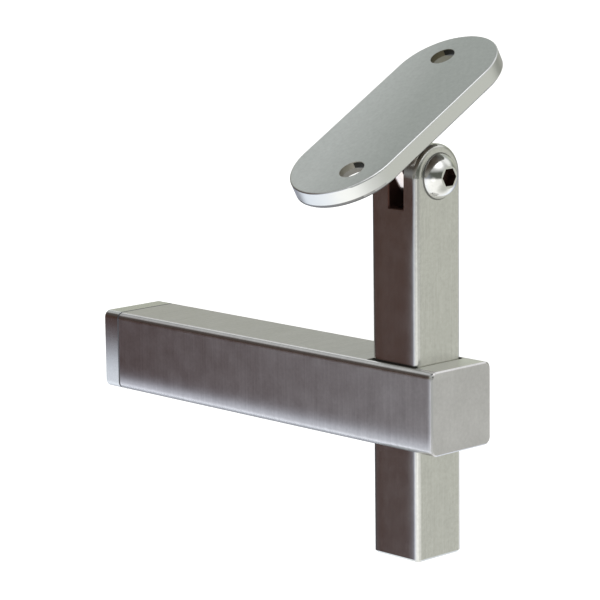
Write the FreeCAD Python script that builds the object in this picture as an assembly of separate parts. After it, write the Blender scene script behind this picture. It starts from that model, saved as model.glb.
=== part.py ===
import FreeCAD, Part
import math
import os

# Square handrail bracket, in millimetres.
# Origin: the centre of the wall face. +Z is up, the arm stands out along -Y, the rail runs along X.

# Post: a square bar that slides upright in the arm
POST_SIDE = 15.0
POST_EDGE_RADIUS = 1.4
POST_FOOT_CHAMFER = 0.6
POST_CENTRE_TO_FREE_END = 14.5
POST_BELOW_ARM = 27.0
POST_CLEARANCE = 0.15
POST_HOLE_CORNER_RADIUS = 1.0
POST_HOLE_MOUTH_CHAMFER = 0.3

# Arm: a solid square bar, 20 wide, that leaves these walls beside the post and round the spigot
ARM_WALL_BESIDE_POST = 2.35
ARM_WALL_ROUND_SPIGOT = 3.0
ARM_LENGTH = 111.8
ARM_EDGE_RADIUS = 1.8
ARM_FREE_END_CHAMFER = 0.35

# Wall collar, with a turned spigot that carries the arm
COLLAR_THICKNESS = 5.2
SEAM_CHAMFER = 0.25
SPIGOT_LENGTH = 15.0
SPIGOT_CLEARANCE = 0.04
SPIGOT_BORE_SPARE = 3.0
WALL_THREAD_BORE = 6.8

# Cone-point set screw that draws the arm onto the collar, from below
COLLAR_SCREW_DIAMETER = 5.0
COLLAR_SCREW_TIP_DIAMETER = 0.8
COLLAR_SCREW_SOCKET = 2.5
COLLAR_SCREW_TO_SPIGOT_END = 7.0
COLLAR_SCREW_RECESS = 0.2
COLLAR_SCREW_TIP_GAP = 0.05
COLLAR_SCREW_DIMPLE_DEPTH = 1.2

# Flat-point set screw that clamps the post, in the arm's side wall
CLAMP_SCREW_DIAMETER = 4.0
CLAMP_SCREW_SOCKET = 2.0
CLAMP_SCREW_RECESS = 0.05
CLAMP_SCREW_TIP_GAP = 0.05

# Clevis at the top of the post
PIVOT_ABOVE_ARM = 44.0
FRONT_EAR = 4.4
LUG_SIDE_GAP = 0.3
LUG_END_GAP = 1.9
SLOT_FLOOR_RADIUS = 0.6
SLOT_MOUTH_CHAMFER = 0.25

# Pivot screw: domed head with a hexagon socket, screwed into the rear ear
SCREW_DIAMETER = 6.0
SCREW_HEAD_DIAMETER = 10.5
SCREW_HEAD_HEIGHT = 3.3
SCREW_HEAD_RIM = 0.4
SCREW_HEAD_FLAT_RING = 0.3
SCREW_SOCKET = 4.0
SCREW_SOCKET_DEPTH = 2.3
SCREW_SHORT_OF_REAR_EAR = 1.0
SCREW_END_CHAMFER = 0.7
REAR_THREAD_MOUTH_CHAMFER = 0.5
EAR_HOLE_CLEARANCE = 0.2
PIVOT_CLEARANCE = 0.05

# Every screw's gap in its own threaded hole, all round
THREAD_SEAT_CLEARANCE = 0.02

# Saddle: an oval plate with a lug welded under it
SADDLE_TILT = 29.5
LUG_THICKNESS = 4.0
LUG_RADIUS = 5.5
LUG_EDGE_CHAMFER = 0.3
SADDLE_ABOVE_EARS = 4.5
WELD_LEG = 1.3
PLATE_LENGTH = 64.0
PLATE_WIDTH = 27.5
PLATE_THICKNESS = 4.3
PLATE_EDGE_RADIUS = 0.4
PLATE_UNDERSIDE_CHAMFER = 0.45
PLATE_CENTRE_UPHILL = 1.3
RAIL_HOLE_DIAMETER = 6.0
RAIL_HOLE_SINK_DIAMETER = 11.6
RAIL_HOLES_CENTRE_UPHILL = 1.8
RAIL_HOLE_PITCH_ALONG = 44.8
RAIL_HOLE_PITCH_ACROSS = 8.7

# How far a cutter runs past the face that it opens
OVERCUT = 1.0

# Places that follow from the sizes above
X, Y, Z = FreeCAD.Vector(1, 0, 0), FreeCAD.Vector(0, 1, 0), FreeCAD.Vector(0, 0, 1)
SOCKET_CORNER = 1 / math.cos(math.pi / 6)
POST_HALF = POST_SIDE / 2
ARM_HALF = POST_HALF + POST_CLEARANCE + ARM_WALL_BESIDE_POST
ARM_SIDE = 2 * ARM_HALF
COLLAR_FRONT = -COLLAR_THICKNESS
ARM_END = COLLAR_FRONT - ARM_LENGTH
SPIGOT_RADIUS = ARM_HALF - ARM_WALL_ROUND_SPIGOT - SPIGOT_CLEARANCE
SPIGOT_END = COLLAR_FRONT - SPIGOT_LENGTH
DIMPLE_FLOOR = SPIGOT_RADIUS - COLLAR_SCREW_DIMPLE_DEPTH
COLLAR_SCREW_Y = SPIGOT_END + COLLAR_SCREW_TO_SPIGOT_END
POST_Y = ARM_END + POST_CENTRE_TO_FREE_END
POST_FRONT = POST_Y - POST_HALF
POST_REAR = POST_Y + POST_HALF
POST_FOOT = -ARM_HALF - POST_BELOW_ARM
PIVOT_Z = ARM_HALF + PIVOT_ABOVE_ARM
SLOT_WIDTH = LUG_THICKNESS + 2 * LUG_SIDE_GAP
SLOT_Y = POST_FRONT + FRONT_EAR + SLOT_WIDTH / 2
SLOT_FLOOR = PIVOT_Z - LUG_RADIUS - LUG_END_GAP
SADDLE_HEIGHT = POST_HALF + SADDLE_ABOVE_EARS
PLATE_TOP = SADDLE_HEIGHT + PLATE_THICKNESS


def vec(x, y, z):
    return FreeCAD.Vector(x, y, z)


def rod(diameter, start, along, length):
    """A cylinder that starts at a point and runs along a direction."""
    return Part.makeCylinder(diameter / 2, length, start, along)


def block(centre, size_x, size_y, size_z):
    """A box about its centre."""
    corner = centre - vec(size_x / 2, size_y / 2, size_z / 2)
    return Part.makeBox(size_x, size_y, size_z, corner)


def points_along(edge):
    """Five points from one end of an edge to the other, or none where the edge has no length."""
    if edge.Degenerated:
        return []
    first, last = edge.ParameterRange
    return [edge.valueAt(first + (last - first) * k / 4) for k in range(5)]


def edges_along(shape, direction):
    """The straight edges that run along a direction."""
    found = []
    for edge in shape.Edges:
        straight = not edge.Degenerated and isinstance(edge.Curve, Part.Line)
        if straight and abs(edge.tangentAt(edge.FirstParameter).dot(direction)) > 0.999:
            found.append(edge)
    return found


def edges_in_plane(shape, direction, offset):
    """The edges that lie in the plane at an offset along a direction."""
    found = []
    for edge in shape.Edges:
        points = points_along(edge)
        if points and all(abs(point.dot(direction) - offset) < 1e-4 for point in points):
            found.append(edge)
    return found


def hexagon_socket(width, mouth, along, depth):
    """The prism that cuts a hexagon socket, from its mouth inwards."""
    reach = width / 2 * SOCKET_CORNER
    turns = [k * math.pi / 3 for k in range(7)]
    corners = [vec(math.cos(turn), math.sin(turn), 0) * reach for turn in turns]
    prism = Part.Face(Part.makePolygon(corners)).extrude(Z * depth)
    prism.Placement = FreeCAD.Placement(mouth, FreeCAD.Rotation(Z, along))
    return prism


def countersink(diameter, depth, mouth, inwards):
    """The cone that flares a hole's mouth at 45 degrees."""
    return Part.makeCone(diameter / 2 + depth, diameter / 2, depth, mouth, inwards)


def set_screw(diameter, socket, tip, outwards, length, cone):
    """A set screw from its tip outwards: a 45 degree cone of some height, or none, and a socket."""
    body = rod(diameter, tip + outwards * cone, outwards, length - cone)
    if cone > 0:
        body = body.fuse(Part.makeCone(diameter / 2 - cone, diameter / 2, cone, tip, outwards))
    cut = hexagon_socket(socket, tip + outwards * length, outwards * -1, length / 2)
    return body.removeSplitter().cut(cut)


def wall_collar():
    """The square collar against the wall and its turned spigot, tapped for the wall stud."""
    collar = block(vec(0, COLLAR_FRONT / 2, 0), ARM_SIDE, COLLAR_THICKNESS, ARM_SIDE)
    collar = collar.makeFillet(ARM_EDGE_RADIUS, edges_along(collar, Y))
    collar = collar.makeChamfer(SEAM_CHAMFER, edges_in_plane(collar, Y, COLLAR_FRONT))
    spigot = rod(2 * SPIGOT_RADIUS, vec(0, COLLAR_FRONT, 0), -Y, SPIGOT_LENGTH)
    thread = rod(WALL_THREAD_BORE, vec(0, OVERCUT, 0), -Y, 2 * OVERCUT - SPIGOT_END)
    return collar.fuse(spigot).cut(dimple()).cut(thread)


def dimple():
    """The cone drilled into the spigot's underside, which takes the set screw's point."""
    bottom = COLLAR_SCREW_TIP_DIAMETER / 2
    depth = COLLAR_SCREW_DIMPLE_DEPTH + OVERCUT
    return Part.makeCone(bottom, bottom + depth, depth, vec(0, COLLAR_SCREW_Y, -DIMPLE_FLOOR), -Z)


def collar_set_screw():
    """The cone-point set screw under the arm, its point just clear of the dimple."""
    tip = vec(0, COLLAR_SCREW_Y, -DIMPLE_FLOOR - COLLAR_SCREW_TIP_GAP)
    length = ARM_HALF - COLLAR_SCREW_RECESS + tip.z
    cone = (COLLAR_SCREW_DIAMETER - COLLAR_SCREW_TIP_DIAMETER) / 2
    return set_screw(COLLAR_SCREW_DIAMETER, COLLAR_SCREW_SOCKET, tip, -Z, length, cone)


def post_clamp_screw():
    """The flat-point set screw in the arm's side wall."""
    tip = vec(POST_HALF + CLAMP_SCREW_TIP_GAP, POST_Y, 0)
    length = ARM_HALF - CLAMP_SCREW_RECESS - tip.x
    return set_screw(CLAMP_SCREW_DIAMETER, CLAMP_SCREW_SOCKET, tip, X, length, 0.0)


def arm():
    """The square bar, bored for the spigot, pierced for the post and tapped for the set screws."""
    bar = block(vec(0, (COLLAR_FRONT + ARM_END) / 2, 0), ARM_SIDE, ARM_LENGTH, ARM_SIDE)
    bar = bar.makeFillet(ARM_EDGE_RADIUS, edges_along(bar, Y))
    bar = bar.makeChamfer(ARM_FREE_END_CHAMFER, edges_in_plane(bar, Y, ARM_END))
    bar = bar.makeChamfer(SEAM_CHAMFER, edges_in_plane(bar, Y, COLLAR_FRONT))
    bar = bar.cut(post_hole())
    bar = bar.makeChamfer(POST_HOLE_MOUTH_CHAMFER, post_hole_mouths(bar))
    bore_diameter = 2 * (SPIGOT_RADIUS + SPIGOT_CLEARANCE)
    bore = rod(bore_diameter, vec(0, COLLAR_FRONT, 0), -Y, SPIGOT_LENGTH + SPIGOT_BORE_SPARE)
    seat = 2 * THREAD_SEAT_CLEARANCE
    collar_thread = rod(COLLAR_SCREW_DIAMETER + seat, vec(0, COLLAR_SCREW_Y, 0), -Z, ARM_SIDE)
    clamp_thread = rod(CLAMP_SCREW_DIAMETER + seat, vec(POST_HALF, POST_Y, 0), X, ARM_SIDE)
    return bar.cut(bore).cut(collar_thread).cut(clamp_thread)


def post_hole():
    """The square hole that the post slides in."""
    side = POST_SIDE + 2 * POST_CLEARANCE
    hole = block(vec(0, POST_Y, 0), side, side, 2 * ARM_SIDE)
    return hole.makeFillet(POST_HOLE_CORNER_RADIUS, edges_along(hole, Z))


def post_hole_mouths(bar):
    """The edges round the square hole on the arm's top and underside."""
    half = POST_HALF + POST_CLEARANCE + 1e-3
    mouths = edges_in_plane(bar, Z, ARM_HALF) + edges_in_plane(bar, Z, -ARM_HALF)
    return [edge for edge in mouths if reach_from_post(edge.BoundBox) < half]


def reach_from_post(box):
    """How far a box goes from the post's axis, across the post's sides."""
    return max(-box.XMin, box.XMax, POST_Y - box.YMin, box.YMax - POST_Y)


def post():
    """The upright bar with its clevis: two round ears, a slot between them and the pivot's holes."""
    height = PIVOT_Z - POST_FOOT
    bar = block(vec(0, POST_Y, POST_FOOT + height / 2), POST_SIDE, POST_SIDE, height)
    crown = rod(POST_SIDE, vec(0, POST_FRONT, PIVOT_Z), Y, POST_SIDE)
    bar = bar.fuse(crown).removeSplitter()
    outlines = edges_in_plane(bar, Y, POST_FRONT) + edges_in_plane(bar, Y, POST_REAR)
    outlines = [edge for edge in outlines if edge.CenterOfMass.z > POST_FOOT + 1e-3]
    bar = bar.makeFillet(POST_EDGE_RADIUS, outlines)
    bar = bar.makeChamfer(POST_FOOT_CHAMFER, edges_in_plane(bar, Z, POST_FOOT))
    bar = bar.cut(slot())
    mouth = [edge for edge in bar.Edges if on_slot_mouth(edge)]
    return bar.makeChamfer(SLOT_MOUTH_CHAMFER, mouth).cut(pivot_holes())


def on_slot_mouth(edge):
    """Whether an edge runs along the slot's mouth, on the post's sides or over its crown."""
    points = points_along(edge)
    for point in points:
        if abs(point.y - SLOT_Y) > SLOT_WIDTH / 2 + 1e-4 or point.z < SLOT_FLOOR - 1e-4:
            return False
        above_pivot = max(point.z - PIVOT_Z, 0)
        if abs(math.hypot(point.x, above_pivot) - POST_HALF) > 1e-4:
            return False
    return bool(points)


def slot():
    """The cut between the ears, open at the top, with a softened floor."""
    height = PIVOT_Z + POST_SIDE - SLOT_FLOOR
    cut = block(vec(0, SLOT_Y, SLOT_FLOOR + height / 2), 2 * POST_SIDE, SLOT_WIDTH, height)
    floor_edges = [edge for edge in edges_in_plane(cut, Z, SLOT_FLOOR) if edge.Length > POST_SIDE]
    return cut.makeFillet(SLOT_FLOOR_RADIUS, floor_edges)


def pivot_holes():
    """The clearance hole in the front ear and the tapped hole in the rear ear."""
    in_slot = vec(0, SLOT_Y, PIVOT_Z)
    front = rod(SCREW_DIAMETER + 2 * EAR_HOLE_CLEARANCE, in_slot, -Y, POST_SIDE)
    tapped = SCREW_DIAMETER + 2 * THREAD_SEAT_CLEARANCE
    rear = rod(tapped, in_slot, Y, POST_SIDE)
    mouth = countersink(tapped, REAR_THREAD_MOUTH_CHAMFER, vec(0, POST_REAR, PIVOT_Z), -Y)
    return front.fuse(rear).fuse(mouth)


def pivot_screw():
    """The domed screw, turned about the pivot's axis, with its head on the front ear."""
    shank = SCREW_DIAMETER / 2
    length = POST_SIDE - SCREW_SHORT_OF_REAR_EAR
    dome = head_dome()
    rim, crown = dome.valueAt(dome.FirstParameter), dome.valueAt(dome.LastParameter)
    points = [
        crown,
        vec(0, 0, SCREW_HEAD_HEIGHT),
        vec(0, 0, -length),
        vec(shank - SCREW_END_CHAMFER, 0, -length),
        vec(shank, 0, SCREW_END_CHAMFER - length),
        vec(shank, 0, 0),
        vec(SCREW_HEAD_DIAMETER / 2, 0, 0),
        rim,
    ]
    outline = Part.Wire([dome] + Part.makePolygon(points).Edges)
    screw = Part.Face(outline).revolve(vec(0, 0, 0), Z, 360)
    head_top = vec(0, 0, SCREW_HEAD_HEIGHT)
    screw = screw.cut(hexagon_socket(SCREW_SOCKET, head_top, -Z, SCREW_SOCKET_DEPTH))
    screw.Placement = FreeCAD.Placement(vec(0, POST_FRONT, PIVOT_Z), FreeCAD.Rotation(Z, -Y))
    return screw


def head_dome():
    """The head's dome in section: an arc centred on the axis, from the rim to the socket's flat ring."""
    rim_radius = SCREW_HEAD_DIAMETER / 2
    crown_radius = SCREW_SOCKET / 2 * SOCKET_CORNER + SCREW_HEAD_FLAT_RING
    rise = SCREW_HEAD_HEIGHT - SCREW_HEAD_RIM
    # the arc's centre is as far from the rim as from the crown
    below_rim = (rim_radius ** 2 - crown_radius ** 2 - rise ** 2) / (2 * rise)
    radius = math.hypot(rim_radius, below_rim)
    start = math.atan2(below_rim, rim_radius)
    end = math.atan2(below_rim + rise, crown_radius)
    centre = vec(0, 0, SCREW_HEAD_RIM - below_rim)
    turns = (start, (start + end) / 2, end)
    points = [centre + vec(math.cos(turn), 0, math.sin(turn)) * radius for turn in turns]
    return Part.Arc(*points).toShape()


def tilted(shape):
    """A piece drawn level about the pivot, put in place at the saddle's tilt."""
    place = FreeCAD.Placement(vec(0, 0, PIVOT_Z), FreeCAD.Rotation(Y, -SADDLE_TILT))
    shape.Placement = place.multiply(shape.Placement)
    return shape


def saddle_plate():
    """The oval plate, with two holes set corner to corner and countersunk from below."""
    straight = PLATE_LENGTH - PLATE_WIDTH
    centre = vec(PLATE_CENTRE_UPHILL, POST_Y, SADDLE_HEIGHT + PLATE_THICKNESS / 2)
    plate = block(centre, straight, PLATE_WIDTH, PLATE_THICKNESS)
    for side in (-1, 1):
        nose = vec(PLATE_CENTRE_UPHILL + side * straight / 2, POST_Y, SADDLE_HEIGHT)
        plate = plate.fuse(rod(PLATE_WIDTH, nose, Z, PLATE_THICKNESS))
    plate = plate.removeSplitter()
    plate = plate.makeFillet(PLATE_EDGE_RADIUS, edges_in_plane(plate, Z, PLATE_TOP))
    plate = plate.makeChamfer(PLATE_UNDERSIDE_CHAMFER, edges_in_plane(plate, Z, SADDLE_HEIGHT))
    for side in (-1, 1):
        plate = plate.cut(rail_hole(side))
    return tilted(plate)


def rail_hole(side):
    """One hole for a wood screw into the rail, countersunk from below."""
    x = RAIL_HOLES_CENTRE_UPHILL + side * RAIL_HOLE_PITCH_ALONG / 2
    y = SLOT_Y + side * RAIL_HOLE_PITCH_ACROSS / 2
    start = vec(x, y, SADDLE_HEIGHT - OVERCUT)
    hole = rod(RAIL_HOLE_DIAMETER, start, Z, PLATE_THICKNESS + 2 * OVERCUT)
    sink_depth = (RAIL_HOLE_SINK_DIAMETER - RAIL_HOLE_DIAMETER) / 2
    return hole.fuse(countersink(RAIL_HOLE_DIAMETER, sink_depth, vec(x, y, SADDLE_HEIGHT), Z))


def saddle_lug():
    """The tongue that swings in the slot, with the weld round its root."""
    front, rear = SLOT_Y - LUG_THICKNESS / 2, SLOT_Y + LUG_THICKNESS / 2
    blade = block(vec(0, SLOT_Y, SADDLE_HEIGHT / 2), 2 * LUG_RADIUS, LUG_THICKNESS, SADDLE_HEIGHT)
    eye = rod(2 * LUG_RADIUS, vec(0, front, 0), Y, LUG_THICKNESS)
    lug = blade.fuse(eye).removeSplitter()
    rims = edges_in_plane(lug, Y, front) + edges_in_plane(lug, Y, rear)
    rims = [edge for edge in rims if edge.CenterOfMass.z < SADDLE_HEIGHT - 1e-3]
    lug = lug.makeChamfer(LUG_EDGE_CHAMFER, rims)
    weld_foot = SADDLE_HEIGHT - WELD_LEG
    weld = Part.makeLoft([weld_section(weld_foot, 0.0), weld_section(SADDLE_HEIGHT, WELD_LEG)], True)
    bore_diameter = SCREW_DIAMETER + 2 * PIVOT_CLEARANCE
    bore = rod(bore_diameter, vec(0, SLOT_Y - LUG_THICKNESS, 0), Y, 2 * LUG_THICKNESS)
    return tilted(lug.fuse(weld).removeSplitter().cut(bore))


def weld_section(z, grown):
    """The lug's own section at a height, grown by the weld."""
    size_x = 2 * (LUG_RADIUS + grown)
    size_y = LUG_THICKNESS + 2 * grown
    slab = block(vec(0, SLOT_Y, z + WELD_LEG / 2), size_x, size_y, WELD_LEG)
    slab = slab.makeChamfer(LUG_EDGE_CHAMFER + grown, edges_along(slab, Z))
    return Part.Wire(Part.sortEdges(edges_in_plane(slab, Z, z))[0])


PIECES = {
    "wall_collar": wall_collar,
    "arm": arm,
    "collar_set_screw": collar_set_screw,
    "post_clamp_screw": post_clamp_screw,
    "post": post,
    "pivot_screw": pivot_screw,
    "saddle_plate": saddle_plate,
    "saddle_lug": saddle_lug,
}

os.makedirs("parts", exist_ok=True)
for name, make in PIECES.items():
    solids = make().Solids
    if len(solids) != 1 or not solids[0].isValid():
        raise ValueError(f"{name}: {len(solids)} solids, or a solid that isn't valid")
    solids[0].exportStep(f"parts/{name}.step")
    box = solids[0].BoundBox
    print(f"{name}: {solids[0].Volume:.1f} mm3, {box.XLength:.2f} x {box.YLength:.2f} x {box.ZLength:.2f} mm")
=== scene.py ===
"""Dresses the handrail bracket: steel finishes, thread marks and the weld bead, in a plain white studio.

Everything is in metres, in the frame of the CAD model: the wall face is at y = 0, the arm stands out along -Y,
the post is upright, and the handrail runs along X. A name that ends in _mm is in millimetres of the same frame.
"""

import logging
import math
from dataclasses import dataclass
from enum import Enum

import bpy
import numpy as np
from mathutils import Matrix, Vector


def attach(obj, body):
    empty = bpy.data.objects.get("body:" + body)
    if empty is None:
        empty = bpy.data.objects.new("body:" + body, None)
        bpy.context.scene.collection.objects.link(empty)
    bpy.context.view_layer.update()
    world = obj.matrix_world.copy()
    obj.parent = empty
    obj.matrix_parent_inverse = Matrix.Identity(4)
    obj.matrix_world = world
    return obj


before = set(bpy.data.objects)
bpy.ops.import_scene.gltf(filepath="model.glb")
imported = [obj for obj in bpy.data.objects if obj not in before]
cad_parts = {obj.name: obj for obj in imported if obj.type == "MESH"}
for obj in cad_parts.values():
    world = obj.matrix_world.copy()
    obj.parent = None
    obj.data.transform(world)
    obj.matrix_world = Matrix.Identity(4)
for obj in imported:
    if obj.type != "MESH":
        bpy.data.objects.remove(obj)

MM = 0.001
SKIN_MM = 0.05  # how far the border of a zone keeps from a face beside it
MARGIN_MM = 1.0  # how far a zone reaches out of a bar where nothing else is near
FAR_MM = 100.0  # farther than any face, for an axis along which a crown has no lean
NOISE_ROUGHNESS = 0.55  # how strongly each finer octave of a noise counts
Vector3 = tuple[float, float, float]
Socket = bpy.types.NodeSocket
log = logging.getLogger("handrail_bracket")


class BrushLines(Enum):
    """The way in which the lines of the brushing run: how fast the pattern changes along X, Y and Z."""

    NONE = (1.0, 1.0, 1.0)
    ACROSS_ARM = (0.03, 1.0, 0.03)
    ALONG_POST = (1.0, 1.0, 0.03)


class Nodes:
    """A short hand for building a tree of shader nodes."""

    def __init__(self, tree: bpy.types.NodeTree) -> None:
        """Empties the tree.

        Args:
            tree: The node tree of a material or of the world.
        """
        self.tree = tree
        tree.nodes.clear()

    def add(self, kind: str, inputs: dict[str | int, object] | None = None,
            **settings: object) -> bpy.types.Node:
        """Adds a node, sets it and feeds its inputs.

        Args:
            kind: The node's type in Blender, without the word ShaderNode.
            inputs: For an input's name or number, its value or the socket that feeds it.
            settings: The node's own settings, by name.

        Returns:
            The new node.
        """
        node = self.tree.nodes.new("ShaderNode" + kind)
        for name, value in settings.items():
            setattr(node, name, value)
        for key, value in (inputs or {}).items():
            if isinstance(value, Socket):
                self.tree.links.new(value, node.inputs[key])
            else:
                node.inputs[key].default_value = value
        return node

    def math(self, operation: str, *numbers: object) -> Socket:
        """Works out one number from one, two or three others, each a number or a socket."""
        return self.add("Math", dict(enumerate(numbers)), operation=operation).outputs[0]

    def vector(self, operation: str, *vectors: object) -> Socket:
        """Works out one vector from one or two others, each a tuple or a socket."""
        return self.add("VectorMath", dict(enumerate(vectors)), operation=operation).outputs[0]

    def measure(self, operation: str, *vectors: object) -> Socket:
        """Works out one number from one or two vectors, such as a length."""
        return self.add("VectorMath", dict(enumerate(vectors)), operation=operation).outputs["Value"]

    def scaled(self, vector: object, factor: object) -> Socket:
        """Multiplies a vector or colour by a number."""
        return self.add("VectorMath", {0: vector, "Scale": factor}, operation="SCALE").outputs[0]

    def split(self, vector: Socket) -> tuple[Socket, ...]:
        """Takes a vector apart into X, Y and Z."""
        return tuple(self.add("SeparateXYZ", {0: vector}).outputs)

    def largest(self, vector: Socket) -> Socket:
        """Finds the largest of a vector's three parts."""
        x, y, z = self.split(vector)
        return self.math("MAXIMUM", self.math("MAXIMUM", x, y), z)

    def stretched(self, value: Socket, low: float, high: float, top: float = 1.0) -> Socket:
        """Maps a value onto 0 at low and top at high, level outside the two."""
        return self.add("MapRange", {0: value, 1: low, 2: high, 4: top}).outputs[0]

    def mixed(self, share: Socket, first: object, second: object) -> Socket:
        """Goes from a first number at share 0 to a second at share 1."""
        return self.add("Mix", {0: share, 2: first, 3: second}).outputs[0]

    def mixed_tone(self, share: Socket, first: object, second: object) -> Socket:
        """Goes from a first tone at share 0 to a second at share 1, each a tuple of three or a socket."""
        first, second = ((*tone, 1.0) if isinstance(tone, tuple) else tone for tone in (first, second))
        return self.add("Mix", {0: share, 6: first, 7: second}, data_type="RGBA").outputs[2]


@dataclass(frozen=True)
class Crown:
    """The slight fall of a ground bar's two sides towards their edges, where the belt takes off a little more.

    Along each axis the sides that face along X are flat up to roll_mm from the end of the bar. From there they
    lean outwards by edge_lean x (share of the roll) to the power, so up to edge_lean at the very end. The lean
    fades out between the two heights of fade_mm.
    """

    centre_mm: Vector3
    half_mm: Vector3
    roll_mm: Vector3
    edge_lean: float
    power: float = 2.0
    fade_mm: tuple[float, float] = (1000.0, 1001.0)

    def normal(self, nodes: Nodes, place: Socket) -> Socket:
        """Builds the normal of the crowned face.

        Args:
            nodes: The tree to build in.
            place: The place on the object, in millimetres.

        Returns:
            The surface's own normal, leaned outwards near the ends of each axis.
        """
        own = nodes.add("NewGeometry").outputs["Normal"]
        sideways = nodes.math("ABSOLUTE", nodes.split(own)[0])
        away = nodes.vector("SUBTRACT", place, self.centre_mm)
        flat = tuple(half - roll for half, roll in zip(self.half_mm, self.roll_mm))
        past = nodes.vector("SUBTRACT", nodes.vector("ABSOLUTE", away), flat)
        share = nodes.vector("MAXIMUM", nodes.vector("DIVIDE", past, self.roll_mm), (0.0, 0.0, 0.0))
        raised = nodes.vector("POWER", share, (self.power,) * 3)
        lean = nodes.vector("MULTIPLY", raised, nodes.vector("SIGN", away))
        full, none = self.fade_mm
        kept = nodes.stretched(nodes.split(place)[2], none, full, self.edge_lean)
        leaned = nodes.scaled(lean, nodes.math("MULTIPLY", sideways, kept))
        return nodes.vector("NORMALIZE", nodes.vector("ADD", own, leaned))


@dataclass(frozen=True)
class RoundZone:
    """A round zone with a tone of its own, such as painted shade in a drilled hole or a socket, or one layer of
    a plate.

    It is a cylinder round an axis, from its mouth to a depth.
    """

    mouth_mm: Vector3
    inward: Vector3
    radius_mm: float
    depth_mm: float
    tone: Vector3
    roughness: float = 0.5

    def mask(self, nodes: Nodes, place: Socket) -> Socket:
        """Builds a mask that is 1 inside the cylinder.

        Args:
            nodes: The tree to build in.
            place: The place on the object, in millimetres.

        Returns:
            The mask.
        """
        axis = tuple(Vector(self.inward).normalized())
        local = nodes.vector("SUBTRACT", place, self.mouth_mm)
        deep = nodes.measure("DOT_PRODUCT", local, axis)
        aside = nodes.measure("LENGTH", nodes.vector("CROSS_PRODUCT", local, axis))
        within = nodes.math("MULTIPLY", nodes.math("GREATER_THAN", deep, 0.0),
                            nodes.math("LESS_THAN", deep, self.depth_mm))
        return nodes.math("MULTIPLY", within, nodes.math("LESS_THAN", aside, self.radius_mm))


@dataclass(frozen=True)
class BoxZone:
    """A square zone with a tone of its own, such as painted shade in a sawn slot, or a groove: a box between
    two corners.
    """

    low_mm: Vector3
    high_mm: Vector3
    tone: Vector3
    roughness: float = 0.5

    def mask(self, nodes: Nodes, place: Socket) -> Socket:
        """Builds a mask that is 1 inside the box.

        Args:
            nodes: The tree to build in.
            place: The place on the object, in millimetres.

        Returns:
            The mask.
        """
        middle = tuple((low + high) / 2 for low, high in zip(self.low_mm, self.high_mm))
        half = tuple((high - low) / 2 for low, high in zip(self.low_mm, self.high_mm))
        away = nodes.vector("ABSOLUTE", nodes.vector("SUBTRACT", place, middle))
        return nodes.math("LESS_THAN", nodes.largest(nodes.vector("SUBTRACT", away, half)), 0.0)


@dataclass(frozen=True)
class Drift:
    """A slow change along a piece, from start_mm to end_mm along an axis, up to another tone and roughness."""

    along: Vector3
    start_mm: float
    end_mm: float
    tone: Vector3
    roughness: float

    def share(self, nodes: Nodes, place: Socket) -> Socket:
        """Builds how far the change has come at a place, from 0 to 1."""
        way = nodes.measure("DOT_PRODUCT", place, self.along)
        return nodes.stretched(way, self.start_mm, self.end_mm)


@dataclass(frozen=True)
class ThreadMarks:
    """The turns of a screw thread on a plain round wall: a triangle wave that climbs one pitch in each turn.

    The wall runs along Y, and what lies farther than wall_skin_mm from it has no marks.
    """

    centre_mm: Vector3
    radius_mm: float
    pitch_mm: float
    depth_mm: float = 0.25
    wall_skin_mm: float = 0.12

    def height(self, nodes: Nodes, place: Socket) -> Socket:
        """Builds the thread's height, which is 0 away from the round wall.

        Args:
            nodes: The tree to build in.
            place: The place on the object, in millimetres.

        Returns:
            The height in millimetres.
        """
        x, y, z = nodes.split(nodes.vector("SUBTRACT", place, self.centre_mm))
        squares = nodes.math("ADD", nodes.math("POWER", x, 2.0), nodes.math("POWER", z, 2.0))
        radius = nodes.math("POWER", squares, 0.5)
        on_wall = nodes.math("COMPARE", radius, self.radius_mm, self.wall_skin_mm)
        turn = nodes.math("DIVIDE", nodes.math("ARCTAN2", z, x), 2 * math.pi)
        climb = nodes.math("DIVIDE", y, self.pitch_mm)
        wave = nodes.math("PINGPONG", nodes.math("ADD", climb, turn), 0.5)
        return nodes.math("MULTIPLY", nodes.math("MULTIPLY", wave, on_wall), 2 * self.depth_mm)


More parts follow.
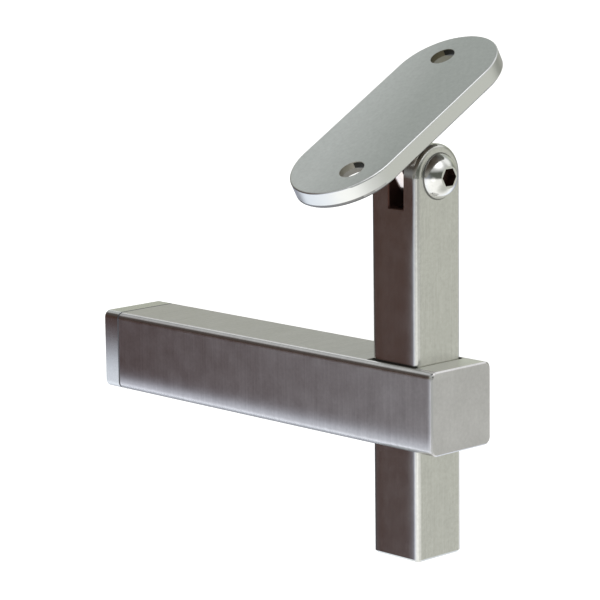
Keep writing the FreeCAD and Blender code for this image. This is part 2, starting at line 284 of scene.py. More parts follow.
@dataclass(frozen=True)
class SteelFinish:
    """One finish of stainless steel: its tone, how matte it is, its brush lines and its cloudy unevenness."""

    name: str
    tone: Vector3
    roughness: float
    lines: BrushLines = BrushLines.NONE
    line_width_mm: float = 0.3
    line_depth_mm: float = 0.002
    line_tone: float = 0.03
    cloud_size_mm: float = 5.0
    cloud_tone: float = 0.03
    speckle_size_mm: float = 0.9
    speckle_tone: float = 0.03
    grain_size_mm: float = 0.35
    grain_depth_mm: float = 0.002
    roughness_swing: float = 0.03
    edge_roughness: float | None = None
    crown: Crown | None = None
    threads: tuple[ThreadMarks, ...] = ()
    zones: tuple[RoundZone | BoxZone, ...] = ()
    drift: Drift | None = None

    def material(self) -> bpy.types.Material:
        """Builds the finish.

        Returns:
            A metal whose tone, roughness and fine relief come from noise on the object's own coordinates.
        """
        made = bpy.data.materials.new(self.name)
        made.use_nodes = True
        nodes = Nodes(made.node_tree)
        place = nodes.scaled(nodes.add("TexCoord").outputs["Object"], 1 / MM)
        brushed = nodes.vector("MULTIPLY", place, self.lines.value)
        lines = self._noise(nodes, brushed, self.line_width_mm, detail=3.0)
        tone, rough = self._plain_steel(nodes, place, lines)
        for zone in self.zones:
            mask = zone.mask(nodes, place)
            tone = nodes.mixed_tone(mask, tone, zone.tone)
            rough = nodes.mixed(mask, rough, zone.roughness)
        steel = nodes.add("BsdfPrincipled", {"Base Color": tone, "Metallic": 1.0, "Roughness": rough,
                                             "Normal": self._relief(nodes, place, lines)})
        nodes.add("OutputMaterial", {"Surface": steel.outputs[0]})
        return made

    def _plain_steel(self, nodes: Nodes, place: Socket, lines: Socket) -> tuple[Socket, Socket]:
        """Builds the finish as it is outside every zone.

        Args:
            nodes: The tree to build in.
            place: The place on the object, in millimetres.
            lines: The noise of the brush lines.

        Returns:
            The tone and the roughness.
        """
        clouds = self._noise(nodes, place, self.cloud_size_mm, detail=4.0)
        speckle = self._noise(nodes, place, self.speckle_size_mm, detail=2.0)
        shade = nodes.math("ADD", nodes.math("ADD", self._swing(nodes, lines, self.line_tone), 1.0),
                           nodes.math("ADD", self._swing(nodes, clouds, self.cloud_tone),
                                      self._swing(nodes, speckle, self.speckle_tone)))
        tone, rough = self.tone, self.roughness
        if self.drift is not None:
            share = self.drift.share(nodes, place)
            tone = nodes.mixed_tone(share, tone, self.drift.tone)
            rough = nodes.mixed(share, rough, self.drift.roughness)
        rough = nodes.math("ADD", self._swing(nodes, clouds, self.roughness_swing), rough)
        if self.edge_roughness is not None:
            rough = nodes.mixed(self._on_edge(nodes), rough, self.edge_roughness)
        return nodes.scaled(tone, shade), rough

    def _noise(self, nodes: Nodes, place: Socket, size_mm: float, detail: float) -> Socket:
        """Builds a soft noise from 0 to 1 whose patches are about size_mm across."""
        return nodes.add("TexNoise", {"Vector": place, "Scale": 1 / size_mm, "Detail": detail,
                                      "Roughness": NOISE_ROUGHNESS}).outputs[0]

    def _swing(self, nodes: Nodes, noise: Socket, amount: float) -> Socket:
        """Centres a noise on 0 and gives it a swing of about the amount, as it mostly keeps to 0.25 to 0.75."""
        return nodes.math("MULTIPLY", nodes.math("SUBTRACT", noise, 0.5), 4 * amount)

    def _on_edge(self, nodes: Nodes) -> Socket:
        """Builds a mask that is 1 on the rounded edges of a square bar, whose normal is far from every axis.

        Args:
            nodes: The tree to build in.

        Returns:
            The mask, from the normal's largest part.
        """
        flat, rounded = 0.995, 0.96
        own = nodes.add("NewGeometry").outputs["Normal"]
        return nodes.stretched(nodes.largest(nodes.vector("ABSOLUTE", own)), flat, rounded)

    def _relief(self, nodes: Nodes, place: Socket, lines: Socket) -> Socket:
        """Bends the normal by the crown, the brush lines, the grain and the threads.

        Args:
            nodes: The tree to build in.
            place: The place on the object, in millimetres.
            lines: The noise of the brush lines.

        Returns:
            The bent normal.
        """
        grain = self._noise(nodes, place, self.grain_size_mm, detail=2.0)
        height = nodes.math("ADD", nodes.math("MULTIPLY", lines, self.line_depth_mm),
                            nodes.math("MULTIPLY", grain, self.grain_depth_mm))
        for thread in self.threads:
            height = nodes.math("ADD", height, thread.height(nodes, place))
        inputs: dict[str | int, object] = {"Height": height, "Distance": MM, "Strength": 1.0}
        if self.crown is not None:
            inputs["Normal"] = self.crown.normal(nodes, place)
        return nodes.add("Bump", inputs).outputs[0]


def dress(node: str, finish: SteelFinish) -> None:
    """Gives a node of the CAD model its finish.

    Args:
        node: The node's name.
        finish: The finish that all of it gets.
    """
    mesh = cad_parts[node].data
    mesh.materials.clear()
    mesh.materials.append(finish.material())
    log.info("%s: %s", node, finish.name)


def smooth_object(name: str, points: np.ndarray, faces: np.ndarray) -> bpy.types.Object:
    """Makes an object with smooth faces and puts it into the scene.

    Args:
        name: The object's name.
        points: A grid of points, in metres.
        faces: The numbers of each face's four corners, in any grid.

    Returns:
        The new object.
    """
    faces = faces.reshape(-1, 4)
    mesh = bpy.data.meshes.new(name)
    mesh.from_pydata(points.reshape(-1, 3).tolist(), [], faces.tolist())
    mesh.polygons.foreach_set("use_smooth", np.ones(len(faces), bool))
    mesh.update()
    made = bpy.data.objects.new(name, mesh)
    bpy.context.scene.collection.objects.link(made)
    return made


@dataclass
class WallArm:
    """The square arm with its collar on the wall and the two set screws."""

    arm_half_mm: float = 10.0
    arm_start_mm: float = -5.2
    arm_end_mm: float = -117.0
    edge_radius_mm: float = 1.8
    free_chamfer_mm: float = 0.36
    post_centre_mm: float = -102.5
    post_half_mm: float = 7.5
    # The gap fields give painted shade: a dark band on the arm's top and bottom round the post, fainter in
    # front.
    gap_shade_reach_mm: float = 8.0
    gap_shade_depth_mm: float = 0.31
    gap_shadow_mm: float = 0.6
    gap_shade_tone: Vector3 = (0.02, 0.018, 0.016)
    front_gap_shade_tone: Vector3 = (0.55, 0.55, 0.50)
    arm_crown_mm: float = 3.0
    crown_reach_mm: float = 80.0
    collar_crown_mm: float = 9.0
    seam_half_mm: float = 0.28
    stud_bore_radius_mm: float = 3.4
    stud_pitch_mm: float = 1.25
    edge_roughness: float = 0.16

    def arm_finish(self) -> SteelFinish:
        """Sets the arm: belt-ground across its length, so that the lines stand upright on its sides.

        Returns:
            The finish, which grows paler and duller towards the free end.
        """
        crown = Crown((0.0, self.arm_end_mm + self.crown_reach_mm, self.arm_crown_mm),
                      (FAR_MM, self.crown_reach_mm, self.arm_half_mm + self.arm_crown_mm),
                      roll_mm=(1.0, 2.2, 8.0), edge_lean=0.8, power=2.6)
        drift = Drift((0.0, -1.0, 0.0), -self.arm_start_mm, -self.arm_end_mm, (0.62, 0.61, 0.615), 0.46)
        # The strip before the post gets a painted highlight, and the zones round the post get painted shade.
        zones = (self.seam(), self.free_corner(), self.painted_highlight_before_post(), *self.painted_gap_shade())
        return SteelFinish("arm_steel", (0.56, 0.54, 0.555), 0.33, BrushLines.ACROSS_ARM, line_width_mm=0.5,
                           line_tone=0.07, cloud_tone=0.05, speckle_tone=0.06,
                           edge_roughness=self.edge_roughness, crown=crown, drift=drift, zones=zones)

    def free_corner(self) -> BoxZone:
        """Marks the blunt upright edge at the free end, which the belt has dulled."""
        half, cut = self.arm_half_mm, self.free_chamfer_mm
        return BoxZone((-half - MARGIN_MM, self.arm_end_mm - MARGIN_MM, cut - half),
                       (cut - half, self.arm_end_mm + cut, half - cut), (0.54, 0.54, 0.54))

    def painted_highlight_before_post(self) -> BoxZone:
        """Marks a painted highlight on the strip of the arm's top before the post.

        Returns:
            The zone, from one rounded edge to the other.
        """
        flat, skin = self.arm_half_mm - self.edge_radius_mm, 2 * SKIN_MM
        return BoxZone((-flat, self.arm_end_mm + self.free_chamfer_mm, self.arm_half_mm - skin),
                       (flat, self.post_centre_mm - self.gap_shade_reach_mm, self.arm_half_mm + skin),
                       (0.80, 0.80, 0.77), roughness=0.4)

    def painted_gap_shade(self) -> tuple[BoxZone, ...]:
        """Marks the painted shade round the post, where it goes into the arm and where it comes out.

        Returns:
            For each level a painted dark shade all round and a fainter painted shade over it in front.
        """
        reach, middle, half = self.gap_shade_reach_mm, self.post_centre_mm, self.post_half_mm
        zones = []
        for level in (-self.arm_half_mm, self.arm_half_mm):
            low, high = level - self.gap_shade_depth_mm, level + self.gap_shade_depth_mm
            zones.append(BoxZone((-reach - self.gap_shadow_mm, middle - reach, low),
                                 (reach, middle + reach, high), self.gap_shade_tone))
            zones.append(BoxZone((-half, middle - reach, low),
                                 (reach, middle - half, high), self.front_gap_shade_tone))
        return tuple(zones)

    def collar_finish(self) -> SteelFinish:
        """Sets the collar: a softer grind whose faces are crowned over their whole height.

        Returns:
            The finish, with the thread of the stud hole.
        """
        half = self.arm_half_mm
        crown = Crown((0.0, self.arm_start_mm / 2, self.collar_crown_mm), (half, FAR_MM, half),
                      roll_mm=(half, half, half), edge_lean=0.43, power=1.0)
        stud = ThreadMarks((0.0, 0.0, 0.0), self.stud_bore_radius_mm, self.stud_pitch_mm)
        return SteelFinish("collar_steel", (0.62, 0.62, 0.62), 0.25, edge_roughness=self.edge_roughness,
                           crown=crown, threads=(stud,), zones=(self.seam(),))

    def seam(self) -> BoxZone:
        """Marks the dark line of the groove between the collar and the arm."""
        reach, half = self.arm_half_mm + MARGIN_MM, self.seam_half_mm
        return BoxZone((-reach, self.arm_start_mm - half, -reach), (reach, self.arm_start_mm + half, reach),
                       (0.12, 0.12, 0.13))

    def build(self) -> None:
        """Dresses the arm's four nodes."""
        dress("arm", self.arm_finish())
        dress("wall_collar", self.collar_finish())
        screw = SteelFinish("set_screw_steel", (0.5, 0.5, 0.5), 0.3, cloud_size_mm=1.5)
        dress("collar_set_screw", screw)
        dress("post_clamp_screw", screw)


@dataclass
class SlottedPost:
    """The square post, slotted into two ears at its top, and the domed pivot screw."""

    half_mm: float = 7.5
    centre_y_mm: float = -102.5
    foot_mm: float = -37.0
    top_mm: float = 61.5
    crown_past_end_mm: float = 3.0
    pivot_height_mm: float = 54.0
    slot_low_y_mm: float = -105.6
    slot_high_y_mm: float = -101.0
    slot_floor_mm: float = 46.6
    slot_mouth_mm: float = 0.25
    head_top_mm: float = -113.3
    head_radius_mm: float = 5.25
    # The width of the painted shadow round the screw's head.
    head_shadow_mm: float = 0.3
    socket_radius_mm: float = 2.31
    socket_depth_mm: float = 2.3
    socket_point_mm: float = 0.5
    shank_radius_mm: float = 3.0
    thread_pitch_mm: float = 1.0

    def post_finish(self) -> SteelFinish:
        """Sets the post: brushed along its length and smoother than the arm.

        Returns:
            The finish, with painted shade in the sawn slot, a painted shadow round the screw's head and the
            rear ear's thread.
        """
        middle = (self.foot_mm + self.top_mm) / 2
        crown = Crown((0.0, self.centre_y_mm, middle),
                      (self.half_mm, self.half_mm, self.top_mm - middle + self.crown_past_end_mm),
                      roll_mm=(3.4, 5.0, 3.4), edge_lean=0.5, fade_mm=(34.0, 48.0))
        ear = ThreadMarks((0.0, 0.0, self.pivot_height_mm), self.shank_radius_mm, self.thread_pitch_mm)
        reach, mouth = self.half_mm + MARGIN_MM, self.slot_mouth_mm
        # The slot's walls and floor are painted dark brown, as shade inside the slot.
        slot = BoxZone((-reach, self.slot_low_y_mm - mouth, self.slot_floor_mm - mouth),
                       (reach, self.slot_high_y_mm + mouth, self.top_mm + MARGIN_MM), (0.10, 0.05, 0.04))
        line = self.head_shadow_mm
        # A painted shadow: a dark ring on the ear's face just round the screw's head.
        head_shadow = RoundZone((0.0, self.centre_y_mm - self.half_mm - line, self.pivot_height_mm), (0.0, 1.0, 0.0),
                        self.head_radius_mm + line, 2 * line, (0.25, 0.25, 0.24))
        return SteelFinish("post_steel", (0.65, 0.65, 0.62), 0.23, BrushLines.ALONG_POST, line_tone=0.05,
                           speckle_tone=0.05, edge_roughness=0.2, crown=crown, threads=(ear,),
                           zones=(slot, head_shadow))

    def screw_finish(self) -> SteelFinish:
        """Sets the pivot screw.

        Returns:
            The finish: polished, with painted shade in the socket.
        """
        # The socket is painted dark, as shade inside it.
        socket = RoundZone((0.0, self.head_top_mm + SKIN_MM, self.pivot_height_mm), (0.0, 1.0, 0.0),
                           self.socket_radius_mm + SKIN_MM, self.socket_depth_mm + self.socket_point_mm,
                           (0.10, 0.06, 0.05))
        return SteelFinish("pivot_screw_steel", (0.72, 0.72, 0.70), 0.12, cloud_size_mm=2.0,
                           grain_depth_mm=0.0005, roughness_swing=0.02, zones=(socket,))

    def build(self) -> None:
        """Dresses the post and its screw."""
        dress("post", self.post_finish())
        dress("pivot_screw", self.screw_finish())


@dataclass
class TiltingSaddle:
    """The oval plate that carries the rail and the lug welded under it.

    A place on the plate is given from the pivot along the plate's own axes: uphill, across and out of its top.
    The lines along the plate's edge have two heights each over its underside.
    """

    tilt_deg: float = 29.5
    pivot_mm: Vector3 = (0.0, -103.3, 54.0)
    underside_mm: float = 12.0
    top_mm: float = 16.3
    plate_reach_mm: float = 40.0
    holes_mm: tuple[tuple[float, float], ...] = ((24.2, 4.35), (-20.6, -4.35))
    hole_radius_mm: float = 3.0
    # The tones of the holes' walls and countersinks are painted shade, and the shadow fields below give a
    # painted shadow in each hole.
    hole_shade_tones: tuple[Vector3, ...] = ((0.16, 0.145, 0.10), (0.36, 0.345, 0.30))
    sink_start_mm: float = 1.3
    sink_radius_mm: float = 5.8
    sink_shade_tones: tuple[Vector3, ...] = ((0.17, 0.16, 0.11), (0.33, 0.31, 0.27))
    shadow_shift_mm: float = 2.2
    shadow_start_mm: float = 0.2
    shadow_radius_mm: float = 1.8
    edge_mm: tuple[float, float] = (0.3, 4.0)
    # The first of these lines is a painted highlight along the top of the edge; the line on the nose and the
    # one at the bottom are painted dark lines of shade.
    top_highlight_mm: tuple[float, float] = (3.92, 4.27)
    nose_shade_mm: tuple[float, float] = (0.45, 0.95)
    low_shade_mm: tuple[float, float] = (0.02, 0.46)
    nose_shade_across_mm: float = 0.8
    nose_shade_discs: tuple[tuple[float, float, float], ...] = (
        (-19.0, 13.5, 0.55), (-19.95, 12.8, 0.38), (-21.95, 11.5, 0.20))
    sheen_slant: float = 0.35
    sheen_mm: tuple[float, float] = (-6.0, 14.0)
    # The underside is painted darker, as shade under the plate, and darker and browner still towards the lug.
    underside_shade_tone: Vector3 = (0.27, 0.265, 0.25)
    lug_shade_tone: Vector3 = (0.10, 0.085, 0.07)
    lug_shade_radii_mm: tuple[float, float] = (17.0, 10.5)
    lug_shade_steps: int = 11
    plate_roughness: float = 0.36
    lug_half_thickness_mm: float = 2.0
    lug_half_width_mm: float = 5.5
    bead_radius_mm: float = 1.05
    bead_sink_mm: float = 0.35
    bead_corner_mm: float = 0.8
    bead_steps: tuple[int, int] = (480, 28)
    ripple_mm: float = 0.85
    ripple_height: float = 0.09
    ripple_bend: float = 0.35

    def plate_finish(self) -> SteelFinish:
        """Sets the plate: fine and matte, with a faint mottle.

        Returns:
            The finish, with a painted sheen that grows paler slantwise over the top, and with the painted light
            and shade of its edge, underside and holes.
        """
        # The drift is a painted sheen: the top is painted paler slantwise.
        slant = self._axes()[1] - self.sheen_slant * self._axes()[0]
        start, end = (float(np.array(self.pivot_mm) @ slant) + part for part in self.sheen_mm)
        drift = Drift(tuple(slant), start, end, (0.59, 0.605, 0.60), self.plate_roughness)
        return SteelFinish("plate_steel", (0.425, 0.445, 0.43), self.plate_roughness, cloud_size_mm=3.0,
                           cloud_tone=0.05, speckle_tone=0.06, drift=drift,
                           zones=(*self.edge_zones(), *self.painted_underside_shade(), *self.hole_zones()))

    def edge_zones(self) -> tuple[RoundZone, ...]:
        """Marks the plate's edge.

        Returns:
            The bright edge with a painted highlight line along its top, a painted dark line of shade low on the
            nose, and a painted dark line of shade at the bottom. The nose's painted shade is made of discs: an
            uphill place, a radius and a tone each.
        """
        low, high = self.nose_shade_mm
        nose_shade = (self._disc((uphill, self.nose_shade_across_mm), self.underside_mm + high, radius, high - low,
                                (tone, tone, tone), 0.3) for uphill, radius, tone in self.nose_shade_discs)
        return (self._layer(*self.edge_mm, (0.74, 0.75, 0.74), 0.28),
                self._layer(*self.top_highlight_mm, (0.75, 0.76, 0.77), 0.3), *nose_shade,
                self._layer(*self.low_shade_mm, (0.10, 0.10, 0.10), 0.24))

    def painted_underside_shade(self) -> tuple[RoundZone, ...]:
        """Marks painted shade on the underside, which grows darker and browner towards the lug.

        Returns:
            The whole face, and over it discs that grow smaller, darker and browner by equal steps.
        """
        depth, shares = 10 * SKIN_MM, np.linspace(0.0, 1.0, self.lug_shade_steps)
        radii = (self.plate_reach_mm, *np.interp(shares[1:], (0.0, 1.0), self.lug_shade_radii_mm).tolist())
        tones = [tuple(np.interp(share, (0.0, 1.0), pair) for pair in zip(self.underside_shade_tone, self.lug_shade_tone))
                 for share in shares]
        return tuple(self._disc((0.0, 0.0), self.underside_mm + SKIN_MM, radius, depth, tone,
                                self.plate_roughness) for radius, tone in zip(radii, tones))

    def hole_zones(self) -> tuple[RoundZone, ...]:
        """Marks painted shade in the two holes.

        Returns:
            The painted shade of their countersinks, then of their straight walls, then the painted shadow on
            the uphill side of each.
        """
        thick = self.top_mm - self.underside_mm
        sinks = (self._disc(hole, self.top_mm - self.sink_start_mm, self.sink_radius_mm + SKIN_MM,
                            thick - self.sink_start_mm, tone)
                 for hole, tone in zip(self.holes_mm, self.sink_shade_tones))
        walls = (self._disc(hole, self.top_mm, self.hole_radius_mm + 2 * SKIN_MM, thick, tone)
                 for hole, tone in zip(self.holes_mm, self.hole_shade_tones))
        shadows = (self._disc((uphill + self.shadow_shift_mm, across), self.top_mm - self.shadow_start_mm,
                              self.shadow_radius_mm, thick, (0.04, 0.04, 0.035))
                   for uphill, across in self.holes_mm)
        return (*sinks, *walls, *shadows)

    def weld_bead(self) -> bpy.types.Object:
        """Builds the bead round the lug's root.

        A circle of bead_radius_mm is carried round the rectangle where the lug meets the plate, with its centre
        a little outside and below the corner of the two. Its radius rises and falls once in each ripple_mm of
        the way, and the wave bends back at the middle of the bead, so that the ripples lie as scales.

        Returns:
            The bead as one closed ring.
        """
        along, round_bead = self.bead_steps
        half = np.array([self.lug_half_width_mm, self.lug_half_thickness_mm]) + self.bead_sink_mm
        corner = self.bead_corner_mm
        straight = 2 * (half - corner)
        arc = math.pi / 2 * corner
        total = 2 * straight.sum() + 4 * arc
        ripples = round(total / self.ripple_mm)
        way = np.arange(along) / along * total
        centre, outward = self._rounded_rectangle(way, half, corner, straight, arc)
        turn = np.arange(round_bead) / round_bead * 2 * math.pi
        bend = self.ripple_bend * np.cos(2 * (turn[None, :] + math.pi / 4))
        wave = np.cos(2 * math.pi * (way[:, None] / total * ripples + bend))
        radius = self.bead_radius_mm * (1 + self.ripple_height * wave)
        out = radius * np.cos(turn)[None, :]
        flat = centre[:, None, :] + out[..., None] * outward[:, None, :]
        level = self.underside_mm - self.bead_sink_mm + radius * np.sin(turn)[None, :]
        local = np.concatenate([flat, level[..., None]], axis=2)
        return self._ring("lug_weld_bead", self._placed(local))

    def _rounded_rectangle(self, way: np.ndarray, half: np.ndarray, corner: float, straight: np.ndarray,
                           arc: float) -> tuple[np.ndarray, np.ndarray]:
        """Walks round a rectangle with round corners.

        Args:
            way: The distances walked, in millimetres.
            half: Half the rectangle's size along the plate and across it.
            corner: The corners' radius.
            straight: The lengths of the straight parts along the plate and across it.
            arc: The length of one round corner.

        Returns:
            The points, and the outward directions there.
        """
        lengths = np.array([straight[1], arc, straight[0], arc, straight[1], arc, straight[0], arc])
        ends = np.cumsum(lengths)
        part = np.searchsorted(ends, way, side="right").clip(0, len(lengths) - 1)
        inside = way - (ends - lengths)[part]
        side, on_corner = part // 2, part % 2 == 1
        angle = side * math.pi / 2 + np.where(on_corner, inside / corner, 0.0)
        outward = np.stack([np.cos(angle), np.sin(angle)], axis=1)
        side_starts = np.array([[1, -1], [1, 1], [-1, 1], [-1, -1]])[side]
        corner_middles = np.array([[1, 1], [-1, 1], [-1, -1], [1, -1]])[side]
        starts = np.where(on_corner[:, None], corner_middles, side_starts) * (half - corner)
        forward = np.stack([-np.sin(side * math.pi / 2), np.cos(side * math.pi / 2)], axis=1)
        run = np.where(on_corner, 0.0, inside)[:, None] * forward
        return starts + run + corner * outward, outward

    def _axes(self) -> np.ndarray:
        """The plate's own axes: uphill, along the arm towards the wall, and out of its top."""
        tilt = math.radians(self.tilt_deg)
        return np.array([[math.cos(tilt), 0.0, math.sin(tilt)], [0.0, 1.0, 0.0],
                         [-math.sin(tilt), 0.0, math.cos(tilt)]])

    def _disc(self, centre: tuple[float, float], height: float, radius: float, depth: float, tone: Vector3,
              roughness: float = 0.5) -> RoundZone:
        """Marks a disc that lies level in the plate.

        Args:
            centre: Its place uphill and across, in millimetres.
            height: The height of its upper face from the pivot, in millimetres.
            radius: Its radius in millimetres.
            depth: Its thickness in millimetres.
            tone: Its tone.
            roughness: Its roughness.

        Returns:
            The zone.
        """
        mouth = np.array([*centre, height]) @ self._axes() + np.array(self.pivot_mm)
        return RoundZone(tuple(mouth), tuple(-self._axes()[2]), radius, depth, tone, roughness)

    def _layer(self, low: float, high: float, tone: Vector3, roughness: float) -> RoundZone:
        """Marks all of the plate between two heights over its underside."""
        return self._disc((0.0, 0.0), self.underside_mm + high, self.plate_reach_mm, high - low, tone,
                          roughness)

    def _placed(self, local: np.ndarray) -> np.ndarray:
        """Takes points from the plate's own axes to the shared frame, and from millimetres to metres."""
        return (local @ self._axes() + np.array(self.pivot_mm)) * MM

    def _ring(self, name: str, points: np.ndarray) -> bpy.types.Object:
        """Makes a closed ring from a grid of points.

        Args:
            name: The piece's name.
            points: The grid, first round the ring and then round its section, in metres.

        Returns:
            The new object, with smooth faces that point outwards.
        """
        rows, columns = points.shape[:2]
        corner = np.arange(rows * columns).reshape(rows, columns)
        ahead, beside = np.roll(corner, -1, axis=0), np.roll(corner, -1, axis=1)
        faces = np.stack([corner, ahead, np.roll(ahead, -1, axis=1), beside], axis=2)
        return smooth_object(name, points, faces)

    def build(self) -> None:
        """Dresses the plate and the lug, and adds the weld bead."""
        dress("saddle_plate", self.plate_finish())
        rear, thick = self.pivot_mm[1] + self.lug_half_thickness_mm, 2 * self.lug_half_thickness_mm
        rounded = Crown((0.0, rear, 0.0), (FAR_MM, thick, FAR_MM), roll_mm=(1.0, thick, 1.0), edge_lean=0.8,
                        power=0.6)
        lug = SteelFinish("lug_steel", (0.80, 0.74, 0.72), 0.22, cloud_size_mm=2.0, crown=rounded)
        dress("saddle_lug", lug)
        bead = self.weld_bead()
        weld = SteelFinish("weld_steel", (0.58, 0.56, 0.53), 0.3, cloud_size_mm=1.2, cloud_tone=0.12)
        bead.data.materials.append(weld.material())
        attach(bead, "saddle")
        log.info("%s: %d points", bead.name, len(bead.data.vertices))


@dataclass(frozen=True)
class Patch:
    """A soft round patch of the studio's surroundings: a light, or a coloured cloth over what is behind.

    With s = sharpness x (1 - cos(angle from its direction)), its weight is exp(-s x s), which is flat in the
    middle. A light adds its colour by that weight, and a cloth covers by that weight times its cover.
    """

    towards: Vector3
    colour: Vector3
    sharpness: float
    cover: float = 0.0

    def over(self, nodes: Nodes, direction: Socket, colour: Socket) -> Socket:
        """Lays the patch over the surroundings.

        Args:
            nodes: The world's tree.
            direction: The direction looked at.
            colour: The surroundings so far.

        Returns:
            The surroundings with the patch.
        """
        cosine = nodes.measure("DOT_PRODUCT", direction, tuple(Vector(self.towards).normalized()))
        steep = nodes.math("MULTIPLY", nodes.math("SUBTRACT", 1.0, cosine), self.sharpness)
        weight = nodes.math("EXPONENT", nodes.math("MULTIPLY", nodes.math("MULTIPLY", steep, steep), -1.0))
        if not self.cover:
            return nodes.vector("ADD", colour, nodes.scaled(self.colour, weight))
        return nodes.mixed_tone(nodes.math("MULTIPLY", weight, self.cover), colour, self.colour)


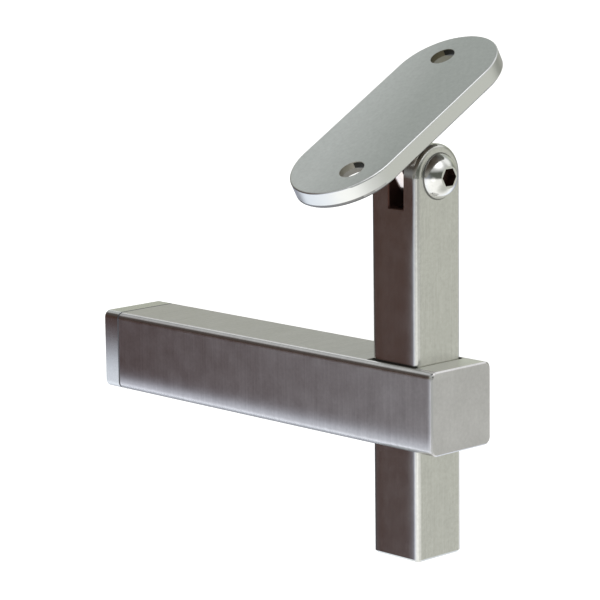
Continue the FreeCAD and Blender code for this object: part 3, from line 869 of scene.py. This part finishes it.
@dataclass
class Studio:
    """The white studio: what the steel mirrors, the pale floor and backdrop, and the camera.

    front and back give the surroundings before and behind the bracket by height, from -1 straight down to
    1 straight up. They blend within blend_width on each side of the bracket.
    """

    front: tuple[tuple[float, Vector3], ...] = (
        (-1.0, (1.3, 1.3, 1.27)), (-0.60, (1.28, 1.28, 1.25)), (-0.22, (1.15, 1.15, 1.12)),
        (-0.10, (0.14, 0.15, 0.13)), (0.32, (0.12, 0.13, 0.11)), (0.50, (0.60, 0.61, 0.60)),
        (1.0, (0.7, 0.7, 0.7)))
    back: tuple[tuple[float, Vector3], ...] = (
        (-1.0, (1.1, 1.11, 1.13)), (-0.55, (1.17, 1.26, 1.39)), (-0.28, (0.34, 0.36, 0.47)),
        (0.0, (0.40, 0.40, 0.37)), (0.18, (0.59, 0.61, 0.49)), (0.60, (0.50, 0.53, 0.51)),
        (1.0, (0.6, 0.6, 0.6)))
    blend_width: float = 0.3
    patches: tuple[Patch, ...] = (
        Patch((0.70, -0.70, 0.02), (0.68, 0.69, 0.63), 6.0, cover=0.98),
        Patch((-0.62, 0.77, 0.02), (0.078, 0.038, 0.027), 5.0, cover=0.99),
        Patch((0.02, 0.99, -0.12), (0.05, 0.04, 0.035), 14.0, cover=0.9),
        Patch((-0.57, 0.71, 0.41), (0.10, 0.085, 0.075), 26.0, cover=0.95),
        Patch((0.62, 0.60, -0.50), (0.3, 0.3, 0.32), 14.0, cover=0.6),
        Patch((0.35, -0.65, -0.68), (0.60, 0.61, 0.57), 7.0, cover=0.9),
        Patch((-0.10, -0.50, 0.86), (1.2, 1.2, 1.2), 12.0),
        Patch((0.68, -0.25, 0.68), (0.5, 0.5, 0.5), 20.0),
        Patch((0.38, 0.71, 0.60), (0.6, 0.6, 0.6), 80.0),
        Patch((-0.22, 0.71, 0.67), (0.2, 0.2, 0.2), 40.0),
        Patch((-1.0, -0.09, -0.15), (0.22, 0.23, 0.29), 10.0),
        Patch((-0.71, -0.67, -0.20), (0.45, 0.45, 0.45), 60.0),
    )
    floor_level: float = -0.6
    floor_radius: float = 3.0
    floor_glow: float = 0.6
    wall_radius: float = 4.5
    dome_height: float = 5.0
    shell_steps: int = 96
    quarter_points: int = 13
    camera_place: Vector3 = (-0.46223, -0.54806, 0.14145)
    camera_turn: float = 0.76126
    camera_dip: float = 0.18055
    camera_roll: float = 0.012786
    camera_lens_mm: float = 166.69
    camera_sensor_mm: float = 36.0
    camera_range: tuple[float, float] = (0.05, 30.0)

    def _by_height(self, nodes: Nodes, height: Socket, stops: tuple[tuple[float, Vector3], ...]) -> Socket:
        """Builds colours that change with height.

        Args:
            nodes: The world's tree.
            height: The height of the direction looked at, from -1 to 1.
            stops: Heights with their colours, from the lowest up.

        Returns:
            The colour at that height.
        """
        share = nodes.math("MULTIPLY", nodes.math("ADD", height, 1.0), 0.5)
        ramp = nodes.add("ValToRGB", {0: share})
        elements = ramp.color_ramp.elements
        while len(elements) < len(stops):
            elements.new(1.0)
        for element, (at, colour) in zip(elements, stops):
            element.position, element.color = (at + 1) / 2, (*colour, 1)
        return ramp.outputs[0]

    def light(self) -> None:
        """Builds the surroundings: front and back by height, and then the patches over them."""
        world = bpy.data.worlds.new("studio_light")
        bpy.context.scene.world = world
        world.use_nodes = True
        nodes = Nodes(world.node_tree)
        direction = nodes.add("TexCoord").outputs["Generated"]
        depth, height = nodes.split(direction)[1:]
        before = nodes.add("MapRange", {0: depth, 1: self.blend_width, 2: -self.blend_width},
                           interpolation_type="SMOOTHSTEP").outputs[0]
        colour = nodes.mixed_tone(before, self._by_height(nodes, height, self.back),
                                  self._by_height(nodes, height, self.front))
        for patch in self.patches:
            colour = patch.over(nodes, direction, colour)
        shine = nodes.add("Background", {"Color": colour, "Strength": 1.0})
        nodes.add("OutputWorld", {"Surface": shine.outputs[0]})

    def backdrop(self) -> None:
        """Builds floor, wall and dome as one turned shell, which only the camera sees.

        Its profile is flat out to floor_radius, rises in a quarter of an ellipse to the wall, and closes in
        another quarter of an ellipse overhead. The profile is turned in shell_steps steps.
        """
        steps = self.shell_steps
        quarter = np.linspace(0.0, math.pi / 2, self.quarter_points)
        rise = self.wall_radius - self.floor_radius
        radius = np.concatenate([[0.0], self.floor_radius + rise * np.sin(quarter),
                                 self.wall_radius * np.cos(quarter[1:])])
        height = np.concatenate([[0.0], rise * (1 - np.cos(quarter)),
                                 rise + self.dome_height * np.sin(quarter[1:])])
        turn = np.arange(steps) / steps * 2 * math.pi
        points = np.stack([radius[:, None] * np.cos(turn), radius[:, None] * np.sin(turn),
                           np.broadcast_to(height[:, None] + self.floor_level, (len(radius), steps))], axis=2)
        corner = np.arange(points.shape[0] * steps).reshape(-1, steps)
        beside = np.roll(corner, -1, axis=1)
        shell = smooth_object("backdrop", points,
                              np.stack([corner[:-1], beside[:-1], beside[1:], corner[1:]], axis=2))
        shell.data.materials.append(self.pale_paint())
        shell.visible_diffuse = shell.visible_glossy = shell.visible_transmission = shell.visible_shadow = False

    def pale_paint(self) -> bpy.types.Material:
        """Makes the backdrop's paint.

        Returns:
            A matte white that glows a little.
        """
        white = bpy.data.materials.new("pale_floor")
        white.use_nodes = True
        nodes = Nodes(white.node_tree)
        paint = nodes.add("BsdfPrincipled", {"Base Color": (0.8, 0.8, 0.8, 1), "Roughness": 0.9,
                                             "Emission Color": (1, 1, 1, 1),
                                             "Emission Strength": self.floor_glow})
        nodes.add("OutputMaterial", {"Surface": paint.outputs[0]})
        return white

    def camera(self) -> None:
        """Places the camera where the photograph was taken from: turned, dipped and rolled a little."""
        turn, dip, roll = self.camera_turn, self.camera_dip, self.camera_roll
        ahead = Vector((math.sin(turn) * math.cos(dip), math.cos(turn) * math.cos(dip), -math.sin(dip)))
        right = Vector((math.cos(turn), -math.sin(turn), 0.0))
        down = ahead.cross(right)
        rolled = right * math.cos(roll) + down * math.sin(roll)
        up = right * math.sin(roll) - down * math.cos(roll)
        data = bpy.data.cameras.new("camera")
        data.lens, data.sensor_width = self.camera_lens_mm, self.camera_sensor_mm
        data.clip_start, data.clip_end = self.camera_range
        camera = bpy.data.objects.new("camera", data)
        turned = Matrix((rolled, up, -ahead)).transposed().to_4x4()
        camera.matrix_world = Matrix.Translation(self.camera_place) @ turned
        bpy.context.scene.collection.objects.link(camera)
        bpy.context.scene.camera = camera

    def build(self) -> None:
        """Sets up the light, the backdrop, the camera and plain colours."""
        self.light()
        self.backdrop()
        self.camera()
        bpy.context.scene.view_settings.view_transform = "Standard"
        bpy.context.scene.view_settings.look = "None"


def main() -> None:
    """Builds the studio and dresses each sub-assembly."""
    logging.basicConfig(level=logging.INFO, format="%(message)s")
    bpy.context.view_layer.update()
    Studio().build()
    for part in (WallArm(), SlottedPost(), TiltingSaddle()):
        part.build()
        log.info("%s is done", type(part).__name__)


if __name__ == "__main__":
    main()
